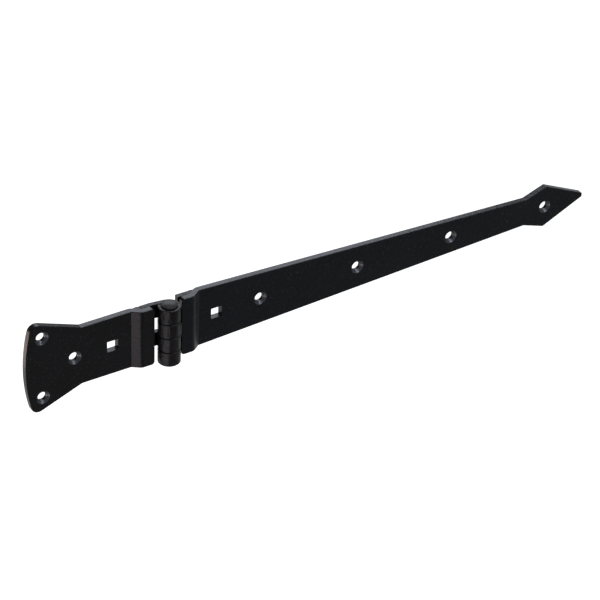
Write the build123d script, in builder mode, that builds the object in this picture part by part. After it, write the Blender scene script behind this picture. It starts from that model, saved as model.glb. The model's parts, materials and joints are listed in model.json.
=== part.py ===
"""Strap hinge with a fan plate: two joggled flat-bar plates on rolled knuckle leaves and one pin.

Millimetres. The pin's axis is Z and the origin is on it, halfway up the barrel. The long strap runs
towards +X, the fan plate towards -X, and the front that is seen on a closed door faces -Y.
"""
from math import acos, asin, atan2, cos, degrees, hypot, radians, sin, tan
import os

from build123d import *

os.makedirs("parts", exist_ok=True)

# Flat bar of both plates
bar_width = 40.0
plate_thickness = 4.0
plate_front_y = 5.0          # front face of both plates, behind the pin's axis
edge_break = 0.25            # small chamfer all round the front and back of the plates

# Joggle that brings each plate forward by its own thickness, in front of its leaf
forward_end_x = 9.2          # where the forward portion stops, beside the barrel
joggle_near_x = 17.8         # front bend line next to the barrel
joggle_far_x = 23.2          # front bend line away from the barrel
bend_inner_radius = 1.0
forward_corner_radius = 2.0

# Knuckle leaves and barrel
leaf_thickness = 3.0
leaf_end_x = 16.0            # end of each leaf inside the pocket of the joggle
leaf_notch_x = 8.4           # edge of the notches that clear the other leaf's knuckles
set_bend_x = 7.8             # where each tongue bends towards the pin
set_bend_radius = 4.0        # at the middle of the leaf's thickness
knuckle_count = 4
knuckle_gap = 0.3            # along the pin, between knuckles
knuckle_rim_chamfer = 0.3
seam_gap = 0.5               # between the end of each roll and its own tongue

# Pin
pin_diameter = 8.0
running_clearance = 0.05     # radial, in the knuckles that turn on the pin
pin_head_diameter = 10.3
pin_head_height = 1.8
pin_head_crown = 1.1         # rise of the domed top, part of the head's height
pin_head_shoulder = 0.4
pin_tail_chamfer = 0.6

# Strap outline, half widths about the centre line
taper_start_x = 25.0
notch_x = 264.8
notch_half = 9.5
spear_widest_x = 280.7
spear_widest_half = 15.0
spear_point_x = 313.5        # where the two falling edges would meet
spear_blunt_half = 1.3
notch_radius = 2.0
spear_corner_radius = 1.0
spear_blunt_radius = 0.6

# Fan outline
neck_end_x = 56.0
fan_flare = 0.38             # rise of the half width per millimetre outwards
fan_end_x = 93.0
fan_end_radius = 112.0
fan_corner_radius = 5.0
fan_neck_radius = 3.0

# Screw and bolt holes
screw_hole_diameter = 5.8
countersink_diameter = 8.8
countersink_angle = 90.0
hole_back_chamfer = 0.4
bolt_square = 7.3
bolt_square_radius = 0.5
bolt_x = 35.5                # square hole of either plate, from the pin
fan_corner_hole_x = 82.0
fan_corner_hole_half = 21.0
fan_screw_x = 60.8
strap_screw_x = 66.5
strap_screw_pitch = 70.3
strap_screw_count = 3
spear_screw_x = 280.6

# Weld in the pocket behind each joggle
weld_margin = 0.3            # from each end of the bead to the edge of the plate
weld_crown = 0.5

# Drawing aids
same_place = 0.01            # how near two places must be to count as one
overrun = 5.0                # how far a blank is drawn past the outline that trims it

# Worked out from the sizes above
bar_half = bar_width / 2
plate_back_y = plate_front_y + plate_thickness
forward_front_y = plate_front_y - plate_thickness
leaf_back_y = plate_front_y + leaf_thickness
leaf_mid_y = plate_front_y + leaf_thickness / 2
weld_length = bar_width - 2 * weld_margin
pin_radius = pin_diameter / 2
knuckle_pitch = bar_width / knuckle_count
knuckle_height = knuckle_pitch - knuckle_gap
screw_radius = screw_hole_diameter / 2
cut_reach = 2 * bar_width    # longer than any cut through a plate
joggle_angle = atan2(plate_thickness, joggle_far_x - joggle_near_x)
joggle_mid_shift = plate_thickness / 2 * tan(joggle_angle / 2)
joggle_back_shift = 2 * joggle_mid_shift
bend_reach = (bend_inner_radius + plate_thickness) * tan(joggle_angle / 2)
bend_start_x = joggle_near_x - joggle_back_shift - bend_reach
bend_end_x = joggle_far_x + bend_reach
spear_rate = spear_widest_half / (spear_point_x - spear_widest_x)
blunt_x = spear_point_x - spear_blunt_half / spear_rate
fan_blank_x = fan_end_x + overrun
fan_blank_half = bar_half + fan_flare * (fan_blank_x - neck_end_x)
strap_screw_xs = [strap_screw_x + i * strap_screw_pitch for i in range(strap_screw_count)]


def knuckle_bottom(level):
    """Height of the lower face of a knuckle, counted from 0 at the top of the barrel."""
    return bar_half - (level + 1) * knuckle_pitch + knuckle_gap / 2


def joggled_strip(side, far_x):
    """Flat bar of full depth with its joggle, seen from above and drawn towards +X or -X."""
    middle = [
        (side * forward_end_x, forward_front_y + plate_thickness / 2),
        (side * (joggle_near_x - joggle_mid_shift), forward_front_y + plate_thickness / 2),
        (side * (joggle_far_x - joggle_mid_shift), plate_front_y + plate_thickness / 2),
        (side * far_x, plate_front_y + plate_thickness / 2),
    ]
    with BuildSketch() as strip:
        with BuildLine():
            FilletPolyline(*middle, radius=bend_inner_radius + plate_thickness / 2)
        trace(line_width=plate_thickness)
    extrude(strip.sketch, amount=cut_reach, both=True)


def round_corners(outline, x, radius):
    """Round the corners of an outline that stand at one distance along X."""
    fillet(outline.vertices().filter_by_position(Axis.X, x - same_place, x + same_place), radius=radius)


def break_rims(side):
    """Chamfer the edges all round a plate's front and back, but not the lines where it is bent."""
    bend_zone = sorted((side * bend_start_x, side * bend_end_x))
    bend_lines = edges().filter_by(Axis.Z).filter_by_position(Axis.X, *bend_zone)
    chamfer(edges().filter_by(Axis.Y, reverse=True) - bend_lines, length=edge_break)


def screw_holes(side, places):
    """Countersunk screw holes from the front face, with a small deburring chamfer at the back."""
    spots = [Plane(origin=(side * x, plate_front_y, z), z_dir=(0, -1, 0)) for x, z in places]
    with Locations(*spots):
        CounterSinkHole(screw_radius, countersink_diameter / 2, counter_sink_angle=countersink_angle)
    back_rims = (edges().filter_by(GeomType.CIRCLE)
                 .filter_by(lambda rim: abs(rim.radius - screw_radius) < same_place)
                 .filter_by_position(Axis.Y, plate_back_y - same_place, plate_back_y + same_place))
    chamfer(back_rims, length=hole_back_chamfer)


def bolt_hole(x):
    """Square hole for the neck of a coach bolt."""
    with BuildSketch(Plane.XZ) as square:
        with Locations((x, 0)):
            RectangleRounded(bolt_square, bolt_square, bolt_square_radius)
    extrude(square.sketch, amount=-cut_reach, mode=Mode.SUBTRACT)


def rolled_leaf(side, bore_radius, levels):
    """Leaf behind a plate, with a tongue at each level rolled round the pin into a knuckle."""
    roll_radius = bore_radius + leaf_thickness / 2
    outer_radius = bore_radius + leaf_thickness
    reach = hypot(set_bend_x, leaf_mid_y)
    set_angle = atan2(leaf_mid_y, set_bend_x) - asin(roll_radius / reach)
    start_angle = radians(90) + side * set_angle
    roll_start = (roll_radius * cos(start_angle), roll_radius * sin(start_angle))
    seam_angle = degrees(acos(bore_radius / outer_radius) + seam_gap / outer_radius)
    leaf_width = leaf_end_x - leaf_notch_x
    with BuildSketch() as flat:
        with Locations((side * (leaf_notch_x + leaf_width / 2), leaf_mid_y)):
            Rectangle(leaf_width, leaf_thickness)
    extrude(flat.sketch, amount=bar_half, both=True)
    for level in levels:
        bottom = knuckle_bottom(level)
        with BuildSketch(Plane.XY.offset(bottom)) as tongue:
            with BuildLine():
                FilletPolyline((side * leaf_end_x, leaf_mid_y), (side * set_bend_x, leaf_mid_y),
                               roll_start, radius=set_bend_radius)
            trace(line_width=leaf_thickness)
        extrude(tongue.sketch, amount=knuckle_height)
        radial = Plane(origin=(0, 0, bottom), x_dir=(cos(start_angle), sin(start_angle), 0),
                       z_dir=(sin(start_angle), -cos(start_angle), 0))
        with BuildSketch(radial) as eye:
            with Locations((roll_radius, knuckle_height / 2)):
                Rectangle(leaf_thickness, knuckle_height)
            chamfer(eye.vertices().group_by(Axis.X)[-1], length=knuckle_rim_chamfer)
        revolve(eye.sketch, axis=Axis((0, 0, 0), (0, 0, side)), revolution_arc=360 - seam_angle)


def pocket_weld(side, plate):
    """Weld bead that fills the groove between the end of a leaf and the joggle's sloping back."""
    slope_top_x = joggle_near_x - joggle_back_shift + leaf_thickness / tan(joggle_angle)
    with BuildSketch(Plane.XY.offset(-weld_length / 2)) as groove:
        with BuildLine():
            Polyline((side * slope_top_x, leaf_back_y), (side * slope_top_x, plate_front_y),
                     (side * leaf_end_x, plate_front_y), (side * leaf_end_x, leaf_back_y))
            ThreePointArc((side * leaf_end_x, leaf_back_y),
                          (side * (leaf_end_x + slope_top_x) / 2, leaf_back_y + weld_crown),
                          (side * slope_top_x, leaf_back_y))
        make_face()
    extrude(groove.sketch, amount=weld_length)
    add(plate.part, mode=Mode.SUBTRACT)


with BuildPart() as strap_plate:
    joggled_strip(1, spear_point_x)
    with BuildSketch(Plane.XZ) as strap_outline:
        with BuildLine():
            Polyline((forward_end_x, 0), (forward_end_x, bar_half), (taper_start_x, bar_half),
                     (notch_x, notch_half), (spear_widest_x, spear_widest_half),
                     (blunt_x, spear_blunt_half), (blunt_x, 0))
            mirror(about=Plane.XZ)
        make_face()
        round_corners(strap_outline, forward_end_x, forward_corner_radius)
        round_corners(strap_outline, notch_x, notch_radius)
        round_corners(strap_outline, spear_widest_x, spear_corner_radius)
        round_corners(strap_outline, blunt_x, spear_blunt_radius)
    extrude(amount=cut_reach, both=True, mode=Mode.INTERSECT)
    break_rims(1)
    bolt_hole(bolt_x)
    screw_holes(1, [(x, 0) for x in strap_screw_xs] + [(spear_screw_x, 0)])
strap_plate.part.label = "strap_plate"

with BuildPart() as fan_plate:
    joggled_strip(-1, fan_blank_x)
    with BuildSketch(Plane.XZ) as fan_outline:
        with BuildLine():
            Polyline((-forward_end_x, 0), (-forward_end_x, bar_half), (-neck_end_x, bar_half),
                     (-fan_blank_x, fan_blank_half), (-fan_blank_x, 0))
            mirror(about=Plane.XZ)
        make_face()
        with Locations((fan_end_radius - fan_end_x, 0)):
            Circle(fan_end_radius, mode=Mode.INTERSECT)
        fillet(fan_outline.vertices().group_by(Axis.X)[0], radius=fan_corner_radius)
        round_corners(fan_outline, -forward_end_x, forward_corner_radius)
        round_corners(fan_outline, -neck_end_x, fan_neck_radius)
    extrude(amount=cut_reach, both=True, mode=Mode.INTERSECT)
    break_rims(-1)
    bolt_hole(-bolt_x)
    screw_holes(-1, [(fan_screw_x, 0), (fan_corner_hole_x, fan_corner_hole_half),
                     (fan_corner_hole_x, -fan_corner_hole_half)])
fan_plate.part.label = "fan_plate"

with BuildPart() as fan_knuckle_leaf:
    rolled_leaf(-1, pin_radius, range(0, knuckle_count, 2))
fan_knuckle_leaf.part.label = "fan_knuckle_leaf"

with BuildPart() as strap_knuckle_leaf:
    rolled_leaf(1, pin_radius + running_clearance, range(1, knuckle_count, 2))
strap_knuckle_leaf.part.label = "strap_knuckle_leaf"

with BuildPart() as fan_plate_weld:
    pocket_weld(-1, fan_plate)
fan_plate_weld.part.label = "fan_plate_weld"

with BuildPart() as strap_plate_weld:
    pocket_weld(1, strap_plate)
strap_plate_weld.part.label = "strap_plate_weld"

with BuildPart() as hinge_pin:
    head_radius = pin_head_diameter / 2
    head_top = bar_half + pin_head_height
    head_side_top = head_top - pin_head_crown
    crown_radius = (head_radius ** 2 + pin_head_crown ** 2) / (2 * pin_head_crown)
    with BuildSketch(Plane.XZ) as half_section:
        with BuildLine():
            Polyline((0, head_top), (0, -bar_half), (pin_radius - pin_tail_chamfer, -bar_half),
                     (pin_radius, -bar_half + pin_tail_chamfer), (pin_radius, bar_half),
                     (head_radius, bar_half), (head_radius, head_side_top))
            RadiusArc((head_radius, head_side_top), (0, head_top), -crown_radius)
        make_face()
        head_shoulder = half_section.vertices().group_by(Axis.X)[-1].sort_by(Axis.Y)[-1]
        fillet(head_shoulder, radius=pin_head_shoulder)
    revolve(axis=Axis.Z)
hinge_pin.part.label = "hinge_pin"

sub_parts = [fan_plate, strap_plate, fan_knuckle_leaf, strap_knuckle_leaf, fan_plate_weld,
             strap_plate_weld, hinge_pin]
for sub_part in sub_parts:
    export_step(sub_part.part, f"parts/{sub_part.part.label}.step")
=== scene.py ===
"""Looks of a black strap hinge: fine-textured powder coat, soft studio light and a pale floor.

Metres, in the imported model's frame: the pin stands along Z, the strap runs towards +X and the front
faces -Y.
"""

import json
import math

import bpy
import numpy as np
from mathutils import Matrix, Vector


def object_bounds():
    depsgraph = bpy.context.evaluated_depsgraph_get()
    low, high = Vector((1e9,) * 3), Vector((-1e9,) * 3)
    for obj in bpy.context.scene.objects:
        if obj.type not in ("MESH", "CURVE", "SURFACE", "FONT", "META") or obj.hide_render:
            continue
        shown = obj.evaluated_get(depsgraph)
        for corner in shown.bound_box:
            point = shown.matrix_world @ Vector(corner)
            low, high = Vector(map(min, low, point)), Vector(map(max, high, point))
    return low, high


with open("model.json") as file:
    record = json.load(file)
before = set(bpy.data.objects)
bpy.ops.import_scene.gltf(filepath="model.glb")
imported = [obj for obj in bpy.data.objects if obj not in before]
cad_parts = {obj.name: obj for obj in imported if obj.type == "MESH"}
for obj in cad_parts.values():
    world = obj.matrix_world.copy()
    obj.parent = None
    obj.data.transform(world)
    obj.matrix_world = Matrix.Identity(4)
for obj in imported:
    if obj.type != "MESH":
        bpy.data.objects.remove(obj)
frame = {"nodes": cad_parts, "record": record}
cad_low, cad_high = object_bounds()

# Camera: where it looks from, and how it is turned about its own line of sight
camera_azimuth = math.radians(-33.294)
camera_elevation = math.radians(33.935)
camera_roll = math.radians(2.121)
camera_distance = 1.61023
camera_aim = (0.080373, 0.017225)       # right of and above the aim datum, across the view
aim_datum = Vector((0.0, 0.0050, 0.0))  # on the plates' front plane, in line with the pin
camera_lens = 162.23                    # mm
camera_sensor = 36.0                    # mm

# Surroundings. The hinge hangs at about the height it has on a door.
floor_drop = 1.0                        # from the lowest corner of the hinge to the floor
floor_size = 18.0
floor_grey = 0.6
floor_glow = 0.95                       # what the eye, mirrors and glass see of it besides its grey
sky_level = 0.08                        # surroundings as a light on the hinge

# Black coat: the base of each piece, and the two shades of its flecks
fan_black = (0.0008, 0.0008, 0.0009)
strap_black = (0.0003, 0.0008, 0.0017)  # a little bluer
head_black = (0.0115, 0.0100, 0.0098)   # the hammered head of the pin is scuffed and paler
fleck_warm = (0.0290, 0.0230, 0.0205)
fleck_cool = (0.0170, 0.0215, 0.0300)
fleck_cover = 0.75                      # share of a fleck's shade in the middle of it
drift_cover = 0.08                      # share of it where the slow drift is highest

# Gloss
coat_sheen = 0.048                      # specular level
coat_roughness = 0.20                   # where the drift is lowest
drift_roughness = 0.12                  # more where it is highest
fleck_roughness = 0.05                  # less on a fleck
leaf_roughness = 0.07                   # more on the rolled leaves
head_sheen = 0.055
head_roughness = 0.13                   # more on the pin's head
weld_roughness = 0.08                   # more on the weld beads

# Texture: sizes and heights in metres, levels of noise from 0 to 1
little_detail = 1.0
some_detail = 2.0
fine_detail = 3.0
noise_roughness = 0.55                  # how strong the finer lumps are
grain_size = 0.0011
grain_relief = 0.00012
fleck_levels = (0.62, 0.74)             # grain where a fleck starts and where it is full
peel_size = 0.003
peel_relief = 0.00008
drift_size = 0.03
hue_size = 0.0025
hue_levels = (0.42, 0.58)
shear_size = 0.0005
shear_relief = 0.00002
shear_stretch = (1.0, 0.12, 1.0)
edge_levels = (0.2, 0.5)                # squared Y of the normal: an edge below, a face above
leaf_stretch = (0.9, 0.9, 0.5)
mark_size = 0.0026
mark_relief = 0.00055
mark_stretch = (1.0, 1.0, 0.3)
dent_size = 0.0026
dent_relief = 0.00010
dent_smoothness = 0.8
ripple_scale = 105.0                    # ripples 3 mm apart
ripple_relief = 0.0002
ripple_bend = 2.5                       # how far the noise bends them
ripple_bend_scale = 1.5

# Round holes: how the record gives the spacing of a pair, along X and along Z, in millimetres
spacings = ("spacing_x_mm", "spacing_y_mm")
millimetre = 0.001

# Countersinks: the powder lies thin in them and the steel shows through, and they are also painted paler and
# partly metallic as a painted highlight, so that they come out bright
countersink_radius = 0.0044
countersink_floor = 0.0024              # how far short of the plate's back the thin coat and its painted highlight end
# painted highlight: pale steel grey in the countersinks, and how much of it is mixed in and made metallic
thin_coat_painted_highlight = (0.100, 0.104, 0.114)
thin_coat_highlight_share = 0.29

# Softboxes: what each faces, its heading and rise from there in degrees, its distance, width and height,
# how bright its face is, where 1 is white, and its colour
softboxes = {
    "back_box": ("middle", 67, 35, 1.45, (0.9, 0.5), 14.5, (0.85, 0.90, 1.0)),
    "top_box": ("barrel", 40, 76, 1.2, (0.45, 0.45), 6.5, (1.0, 0.95, 0.96)),
    "low_left_box": ("barrel", 210, -36, 1.0, (0.9, 0.45), 8.4, (1.0, 0.90, 0.95)),
    "end_box": ("fan_end", 127, -20, 1.0, (0.45, 0.45), 7.5, (1.0, 0.82, 0.76)),
    "front_box": ("barrel", 304, 44, 1.2, (0.7, 0.4), 18.0, (0.86, 0.92, 1.0)),
}


class Number:
    """A number that varies over a surface. Arithmetic on it adds Math nodes."""

    def __init__(self, shader, socket):
        self.shader = shader
        self.socket = socket

    def combine(self, operation, first, second):
        return self.shader.node("ShaderNodeMath", {"operation": operation}, {0: first, 1: second})[0]

    def __add__(self, other):
        return self.combine("ADD", self, other)

    def __radd__(self, other):
        return self.combine("ADD", other, self)

    def __sub__(self, other):
        return self.combine("SUBTRACT", self, other)

    def __rsub__(self, other):
        return self.combine("SUBTRACT", other, self)

    def __mul__(self, other):
        return self.combine("MULTIPLY", self, other)

    def __rmul__(self, other):
        return self.combine("MULTIPLY", other, self)


class Outputs:
    """The outputs of one node, by name or by place, each ready for arithmetic."""

    def __init__(self, shader, node):
        self.shader = shader
        self.node = node

    def __getitem__(self, key):
        return Number(self.shader, self.node.outputs[key])


class Shader:
    """The nodes of one material, or of the world."""

    def __init__(self, owner):
        owner.use_nodes = True
        self.tree = owner.node_tree
        self.tree.nodes.clear()

    def node(self, kind, settings, values):
        """Add a node: its settings first, then the values or links of its input sockets."""
        node = self.tree.nodes.new(kind)
        for key, setting in settings.items():
            if key == "stops":
                self.set_stops(node.color_ramp, setting)
            else:
                setattr(node, key, setting)
        for key, value in values.items():
            if isinstance(value, Number):
                self.tree.links.new(value.socket, node.inputs[key])
            else:
                node.inputs[key].default_value = value
        return Outputs(self, node)

    @staticmethod
    def set_stops(ramp, stops):
        """Give a colour ramp its two stops, each a place and a grey level."""
        for element, (place, grey) in zip(ramp.elements, stops):
            element.position = place
            element.color = (grey, grey, grey, 1.0)

    def noise(self, place, size, detail):
        """Noise whose lumps are about the given size across."""
        return self.node("ShaderNodeTexNoise", {}, {
            "Vector": place, "Scale": 1.0 / size, "Detail": detail, "Roughness": noise_roughness})[0]

    def ramp(self, value, levels):
        """0 below the first level, 1 above the second and straight between them."""
        low, high = levels
        return self.node("ShaderNodeValToRGB", {"stops": ((low, 0.0), (high, 1.0))}, {"Fac": value})[0]

    def below(self, value, limit):
        """1 where the value is below the limit, 0 elsewhere."""
        return self.node("ShaderNodeMath", {"operation": "LESS_THAN"}, {0: value, 1: limit})[0]

    def mix(self, factor, first, second):
        """Colour that goes from the first to the second."""
        start, end = [colour if isinstance(colour, Number) else (*colour, 1.0) for colour in (first, second)]
        return self.node("ShaderNodeMix", {"data_type": "RGBA"}, {0: factor, 6: start, 7: end})[2]

    def stretch(self, place, scale):
        """Place with each direction scaled, so that a pattern on it is drawn out or squeezed."""
        return self.node("ShaderNodeVectorMath", {"operation": "MULTIPLY"}, {0: place, 1: scale})[0]

    def bump(self, height, relief, under):
        """Normal over a height that runs from 0 to 1 for the relief in metres, on top of another bump."""
        values = {"Strength": 1.0, "Distance": relief, "Height": height}
        if under is not None:
            values["Normal"] = under
        return self.node("ShaderNodeBump", {}, values)[0]

    def seen(self):
        """1 where the eye, a mirror or glass looks, 0 where a matt surface gathers light."""
        path = self.node("ShaderNodeLightPath", {}, {})
        return path["Is Camera Ray"] + path["Is Glossy Ray"] + path["Is Transmission Ray"]


def new_material(name):
    """A new material, its shader, and the coordinates that its patterns read."""
    material = bpy.data.materials.new(name)
    shader = Shader(material)
    return material, shader, shader.node("ShaderNodeTexCoord", {}, {})


def powder(shader, place, lay, black):
    """Colour, roughness and normal of the powder coat.

    Grain is noise about a millimetre across, read at the lay, which is the place or a stretched
    place. Where the grain stands highest there is a pale fleck, warm in some spots and cool in others.
    The grain and a wider, lower orange peel stand up from the surface. Slow noise some centimetres
    across shifts the gloss and the shade, as a sprayed coat does.
    """
    grain = shader.noise(lay, grain_size, fine_detail)
    fleck = shader.ramp(grain, fleck_levels)
    drift = shader.noise(place, drift_size, some_detail)
    hue = shader.ramp(shader.noise(place, hue_size, little_detail), hue_levels)
    speck = shader.mix(hue, fleck_warm, fleck_cool)
    colour = shader.mix(fleck_cover * fleck + drift_cover * drift, black, speck)
    roughness = coat_roughness + drift_roughness * drift - fleck_roughness * fleck
    peel = shader.bump(shader.noise(place, peel_size, little_detail), peel_relief, None)
    return colour, roughness, shader.bump(grain, grain_relief, peel)


def finished(shader, colour, roughness, normal, metallic=0.0, sheen=coat_sheen):
    """Lay the coat's colour, roughness and normal on the surface."""
    coat = shader.node("ShaderNodeBsdfPrincipled", {}, {
        "Base Color": colour, "Roughness": roughness, "Normal": normal, "Metallic": metallic,
        "Specular IOR Level": sheen})
    shader.node("ShaderNodeOutputMaterial", {}, {"Surface": coat[0]})


def plate_coat(name, black, holes, back):
    """Coat on a plate cut from flat bar.

    Within a countersink's radius of each hole's axis, and well short of the plate's back, the coat is
    thin and the steel's grey shows. This pale, partly metallic patch is also a painted highlight that makes
    the countersinks come out bright. On the cut edges, where the surface looks sideways, shear marks run
    across the thickness: noise stretched far along Y, under the powder.
    """
    material, shader, coordinates = new_material(name)
    place = coordinates["Object"]
    colour, roughness, normal = powder(shader, place, place, black)
    part = shader.node("ShaderNodeSeparateXYZ", {}, {"Vector": place})
    rounds = []
    for x, z in holes:
        across = part["X"] - x
        up = part["Z"] - z
        rounds.append(shader.below(across * across + up * up, countersink_radius ** 2))
    # painted highlight as well as a thin coat: the countersinks are made paler and partly metallic so that
    # they come out bright
    thin_and_highlight = sum(rounds) * shader.below(part["Y"], back - countersink_floor) * thin_coat_highlight_share
    facing = shader.node("ShaderNodeSeparateXYZ", {}, {"Vector": coordinates["Normal"]})["Y"]
    edge = 1.0 - shader.ramp(facing * facing, edge_levels)
    shear = edge * shader.noise(shader.stretch(place, shear_stretch), shear_size, some_detail)
    normal = shader.bump(shear, shear_relief, normal)
    # the countersinks' painted highlight goes in here, as a paler colour and as metallic
    finished(shader, shader.mix(thin_and_highlight, colour, thin_coat_painted_highlight), roughness, normal, metallic=thin_and_highlight)
    return material


def leaf_coat(name):
    """Coat on a rolled leaf. The rolling draws the steel's skin into faint marks along the pin."""
    material, shader, coordinates = new_material(name)
    place = coordinates["Object"]
    colour, roughness, normal = powder(shader, place, shader.stretch(place, leaf_stretch), fan_black)
    marks = shader.noise(shader.stretch(place, mark_stretch), mark_size, some_detail)
    normal = shader.bump(marks, mark_relief, normal)
    finished(shader, colour, roughness + leaf_roughness, normal)
    return material


def pin_coat(name):
    """Coat on the pin. Its head was closed with a hammer: shallow dents from the nearest of many points."""
    material, shader, coordinates = new_material(name)
    place = coordinates["Object"]
    colour, roughness, normal = powder(shader, place, place, head_black)
    dents = shader.node("ShaderNodeTexVoronoi", {"feature": "SMOOTH_F1"}, {
        "Vector": place, "Scale": 1.0 / dent_size, "Smoothness": dent_smoothness})["Distance"]
    normal = shader.bump(dents, dent_relief, normal)
    finished(shader, colour, roughness + head_roughness, normal, sheen=head_sheen)
    return material


def weld_coat(name):
    """Coat over a weld bead: even ripples along it, bent by a little noise."""
    material, shader, coordinates = new_material(name)
    place = coordinates["Object"]
    colour, roughness, normal = powder(shader, place, place, fan_black)
    ripple = shader.node("ShaderNodeTexWave", {"bands_direction": "Z"}, {
        "Vector": place, "Scale": ripple_scale, "Distortion": ripple_bend, "Detail": little_detail,
        "Detail Scale": ripple_bend_scale})["Fac"]
    normal = shader.bump(ripple, ripple_relief, normal)
    finished(shader, colour, roughness + weld_roughness, normal)
    return material


def hole_places(names):
    """X and Z of each round hole, from the record's mounts: a bore, or two holes a spacing apart."""
    places = []
    for mount in frame["record"]["mounts"]:
        if mount["name"] in names:
            x, _, z = mount["pos_m"]
            half_x, half_z = [mount["dims"].get(key, 0.0) / 2 * millimetre for key in spacings]
            sides = (-1, 1) if half_x or half_z else (0,)
            places += [(x + side * half_x, z + side * half_z) for side in sides]
    return places


def lay_floor(height):
    """A flat square, centred below the pin: pale and matt, and near white to the eye and in reflections."""
    corner = floor_size / 2
    points = np.array([(-corner, -corner, height), (corner, -corner, height),
                       (corner, corner, height), (-corner, corner, height)])
    mesh = bpy.data.meshes.new("floor")
    mesh.from_pydata(points.tolist(), [], [(0, 1, 2, 3)])
    material = bpy.data.materials.new("pale_floor")
    shader = Shader(material)
    matt = shader.node("ShaderNodeBsdfDiffuse", {}, {"Color": (floor_grey, floor_grey, floor_grey, 1.0)})
    glow = shader.node("ShaderNodeEmission", {}, {"Strength": floor_glow * shader.seen()})
    both = shader.node("ShaderNodeAddShader", {}, {0: matt[0], 1: glow[0]})
    shader.node("ShaderNodeOutputMaterial", {}, {"Surface": both[0]})
    mesh.materials.append(material)
    floor = bpy.data.objects.new("floor", mesh)
    bpy.context.scene.collection.objects.link(floor)


def set_up_sky():
    """White all round to the eye and in reflections, and dim as a light."""
    world = bpy.data.worlds.new("sky")
    shader = Shader(world)
    strength = sky_level + (1.0 - sky_level) * shader.seen()
    sky = shader.node("ShaderNodeBackground", {}, {"Color": (1.0, 1.0, 1.0, 1.0), "Strength": strength})
    shader.node("ShaderNodeOutputWorld", {}, {"Surface": sky[0]})
    bpy.context.scene.world = world


def softbox(name, target, heading, rise, distance, size, level, colour):
    """Flat lamp that faces its target.

    The target sees it at a heading in degrees from +X towards +Y and at a rise above the horizon. The
    level is how bright its face looks, where 1 is white.
    """
    heading, rise = math.radians(heading), math.radians(rise)
    towards = Vector((math.cos(rise) * math.cos(heading), math.cos(rise) * math.sin(heading),
                      math.sin(rise)))
    lamp = bpy.data.lights.new(name, "AREA")
    lamp.shape = "RECTANGLE"
    lamp.size, lamp.size_y = size
    lamp.energy = level * math.pi * size[0] * size[1]
    lamp.color = colour
    box = bpy.data.objects.new(name, lamp)
    box.location = target + distance * towards
    box.rotation_euler = towards.to_track_quat("Z", "Y").to_euler()
    box.visible_camera = False
    bpy.context.scene.collection.objects.link(box)


def place_camera():
    """Camera on a sphere about the aim datum, turned by the roll and shifted across its own view."""
    back = Vector((math.sin(camera_azimuth) * math.cos(camera_elevation),
                   -math.cos(camera_azimuth) * math.cos(camera_elevation), math.sin(camera_elevation)))
    level_right = Vector((math.cos(camera_azimuth), math.sin(camera_azimuth), 0.0))
    level_up = back.cross(level_right)
    right = math.cos(camera_roll) * level_right + math.sin(camera_roll) * level_up
    up = back.cross(right)
    data = bpy.data.cameras.new("camera")
    data.lens = camera_lens
    data.sensor_width = camera_sensor
    camera = bpy.data.objects.new("camera", data)
    turn = Matrix((right, up, back)).transposed().to_4x4()
    spot = aim_datum + camera_aim[0] * right + camera_aim[1] * up + camera_distance * back
    camera.matrix_world = Matrix.Translation(spot) @ turn
    bpy.context.scene.collection.objects.link(camera)
    bpy.context.scene.camera = camera


fan_holes = hole_places(("fan_screw", "fan_corner_screws"))
strap_holes = hole_places(("strap_outer_screws", "strap_middle_screw", "spear_screw"))
finishes = {
    "fan_plate": plate_coat("fan_plate_coat", fan_black, fan_holes, cad_high.y),
    "strap_plate": plate_coat("strap_plate_coat", strap_black, strap_holes, cad_high.y),
    "fan_knuckle_leaf": leaf_coat("knuckle_leaf_coat"),
    "fan_plate_weld": weld_coat("weld_coat"),
    "hinge_pin": pin_coat("pin_coat"),
}
finishes["strap_knuckle_leaf"] = finishes["fan_knuckle_leaf"]
finishes["strap_plate_weld"] = finishes["fan_plate_weld"]
for name, finish in finishes.items():
    frame["nodes"][name].data.materials.clear()
    frame["nodes"][name].data.materials.append(finish)

place_camera()
lay_floor(cad_low.z - floor_drop)
set_up_sky()
middle = (cad_low + cad_high) / 2
fan_end = Vector((cad_low.x, middle.y, middle.z))
targets = {"middle": middle, "barrel": Vector((0.0, 0.0, 0.0)), "fan_end": fan_end}
for name, (target, *setting) in softboxes.items():
    softbox(name, targets[target], *setting)

bpy.context.scene.view_settings.view_transform = "Standard"
